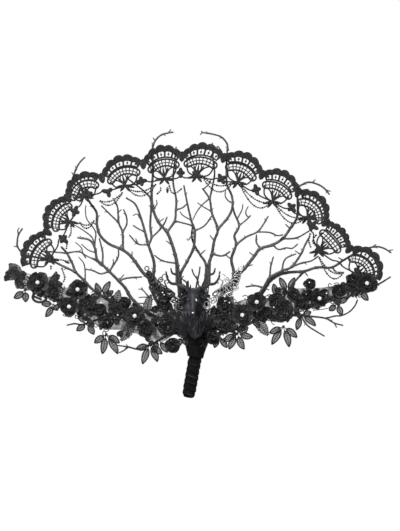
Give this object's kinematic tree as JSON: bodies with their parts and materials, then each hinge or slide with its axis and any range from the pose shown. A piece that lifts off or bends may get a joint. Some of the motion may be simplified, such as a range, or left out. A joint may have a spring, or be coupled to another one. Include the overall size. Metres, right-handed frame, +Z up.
{
  "type": "hand fan",
  "caption": "Rigid gothic hand fan: branching twig ribs on a wrapped handle, scalloped lace edge, bead swags, flower garland and a stag bust.",
  "frame": {"origin": "middle of the hand grip, on the handle's axis", "axes": "+Z up towards the lace edge, +X across the fan to the right seen from the front, the decorated front faces -Y"},
  "size_m": [0.502, 0.0665, 0.3464],
  "materials": {
    "branch": "matt dark grey moulded plastic twigs",
    "lace": "black guipure lace",
    "velvet": "black velvet ribbon",
    "chiffon": "black chiffon petals",
    "organza": "sheer grey-black organza and net",
    "leaf_lace": "embroidered lace leaves",
    "pearl": "white pearl bead",
    "resin": "painted blue-black resin",
    "gunmetal": "dark plated stamped metal",
    "wood": "plain dowel",
    "wire": "florist's binding wire",
    "felt": "black felt",
    "glue": "black hot-melt glue over bound stems",
    "beads": "black seed beads on cord"
  },
  "bodies": {
    "fan": {"handle_core": "wood", "velvet_wrap": "velvet", "wrap_collar": "velvet", "binding_wire": "wire", "stem_hub": "glue", "back_felt": "felt", "branch_far_left": "branch", "branch_left": "branch", "branch_mid_left": "branch", "branch_inner_left": "branch", "branch_centre_left": "branch", "branch_cross_left": "branch", "branch_cross_right": "branch", "branch_centre_right": "branch", "branch_inner_right": "branch", "branch_mid_right": "branch", "branch_right": "branch", "branch_far_right": "branch", "branch_low_right": "branch", "twig_centre": "branch", "twig_far_left": "branch", "twig_low_left": "branch", "twig_low_right": "branch", "twig_right_tip": "branch", "lace_trim": "lace", "garland_base_left": "organza", "garland_base_right": "organza", "flower_far_left": "chiffon", "pearl_far_left": "pearl", "flower_left_top": "chiffon", "pearl_left_top": "pearl", "flower_left_low": "chiffon", "pearl_left_low": "pearl", "flower_mid_left": "chiffon", "pearl_mid_left": "pearl", "flower_mid_right": "chiffon", "pearl_mid_right": "pearl", "flower_right_top": "chiffon", "pearl_right_top": "pearl", "flower_right_low": "chiffon", "pearl_right_low": "pearl", "flower_far_right": "chiffon", "pearl_far_right": "pearl", "leaf_far_left": "leaf_lace", "leaf_low_left": "leaf_lace", "leaf_mid_left": "leaf_lace", "leaf_mid_right": "leaf_lace", "leaf_low_right": "leaf_lace", "stag_bust": "resin", "antler_left": "resin", "antler_right": "resin", "filigree_left": "gunmetal", "filigree_right": "gunmetal"},
    "swag_far_left": {"swag_far_left": "beads"},
    "swag_left": {"swag_left": "beads"},
    "swag_mid_left": {"swag_mid_left": "beads"},
    "swag_centre": {"swag_centre": "beads"},
    "swag_mid_right": {"swag_mid_right": "beads"},
    "swag_right": {"swag_right": "beads"},
    "swag_far_right": {"swag_far_right": "beads"}
  },
  "joints": [
    {"name": "swag_far_left_swing", "type": "hinge", "parent": "fan", "child": "swag_far_left", "pos_m": [-0.147, -0.0064, 0.192], "axis": [0.9945, 0, 0.1047], "range_deg": [-80, 0]},
    {"name": "swag_left_swing", "type": "hinge", "parent": "fan", "child": "swag_left", "pos_m": [-0.121, -0.0064, 0.22], "axis": [0.9389, 0, 0.3443], "range_deg": [-80, 0]},
    {"name": "swag_mid_left_swing", "type": "hinge", "parent": "fan", "child": "swag_mid_left", "pos_m": [-0.084, -0.0064, 0.235], "axis": [0.9864, 0, 0.1644], "range_deg": [-80, 0]},
    {"name": "swag_centre_swing", "type": "hinge", "parent": "fan", "child": "swag_centre", "pos_m": [0.011, -0.0064, 0.253], "axis": [0.9767, 0, -0.2144], "range_deg": [-80, 0]},
    {"name": "swag_mid_right_swing", "type": "hinge", "parent": "fan", "child": "swag_mid_right", "pos_m": [0.06, -0.0064, 0.243], "axis": [0.8538, 0, -0.5206], "range_deg": [-80, 0]},
    {"name": "swag_right_swing", "type": "hinge", "parent": "fan", "child": "swag_right", "pos_m": [0.105, -0.0064, 0.217], "axis": [0.9269, 0, -0.3752], "range_deg": [-80, 0]},
    {"name": "swag_far_right_swing", "type": "hinge", "parent": "fan", "child": "swag_far_right", "pos_m": [0.163, -0.0064, 0.147], "axis": [0.848, 0, -0.53], "range_deg": [-80, 0]}
  ]
}
